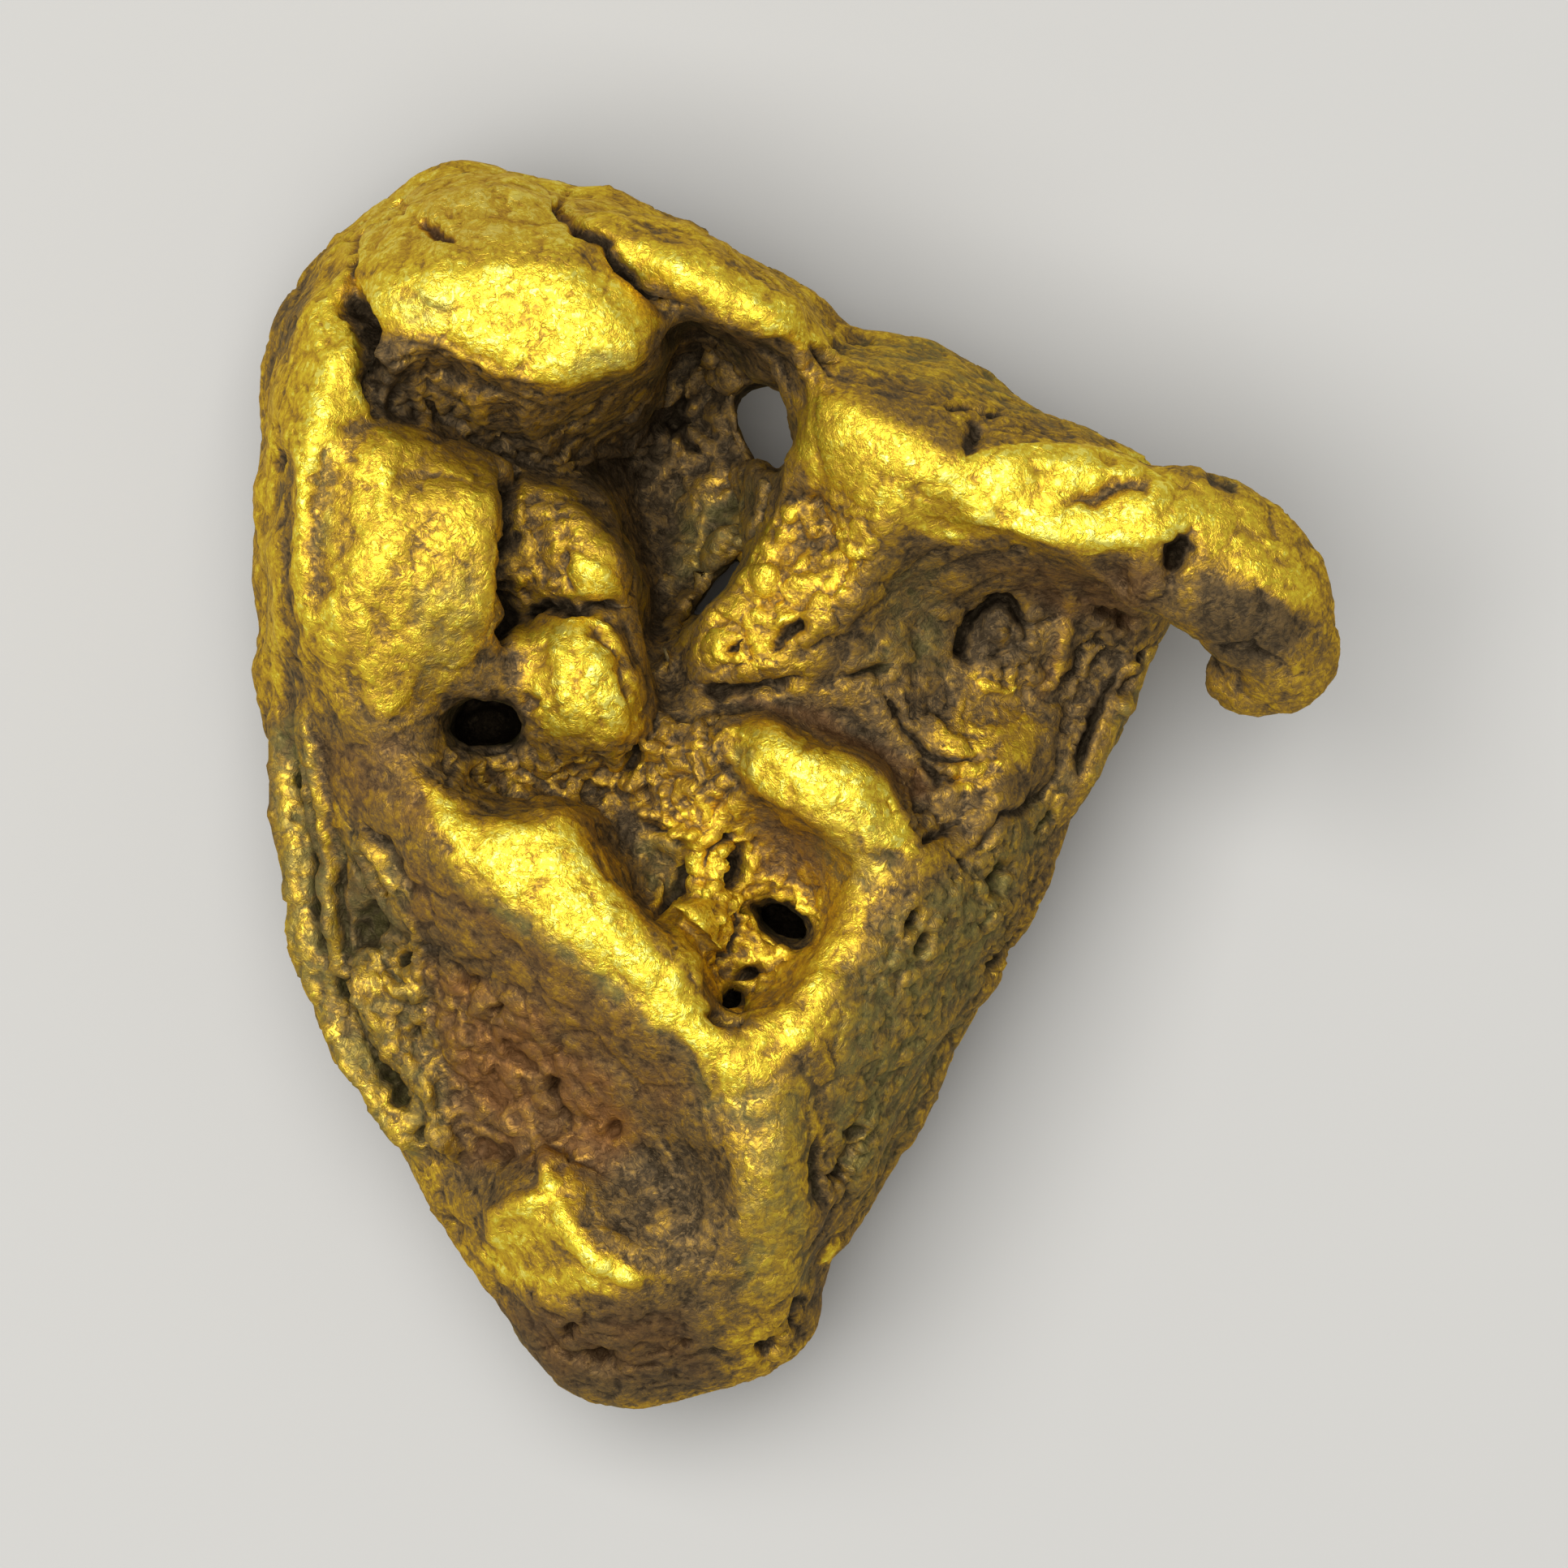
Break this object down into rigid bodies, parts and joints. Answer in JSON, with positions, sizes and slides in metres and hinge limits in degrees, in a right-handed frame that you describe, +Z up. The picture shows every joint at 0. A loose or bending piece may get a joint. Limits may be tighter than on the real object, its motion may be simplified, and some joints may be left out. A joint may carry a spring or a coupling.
{
  "type": "gold nugget",
  "caption": "Rugged natural gold nugget with a rounded crown, forked ridge, hooked arm, deep slotted cavity and small crater, lying on its back.",
  "frame": {"origin": "middle of the nugget's footprint box on the plane it rests on", "axes": "+Z up from the rest plane, +Y towards the rounded crown, +X towards the hooked arm"},
  "size_m": [0.019, 0.0218, 0.0101],
  "materials": {
    "gold": "rough native gold, bright on the crests, dull brown and olive in the hollows"
  },
  "bodies": {
    "root": {"nugget": "gold"}
  },
  "joints": []
}
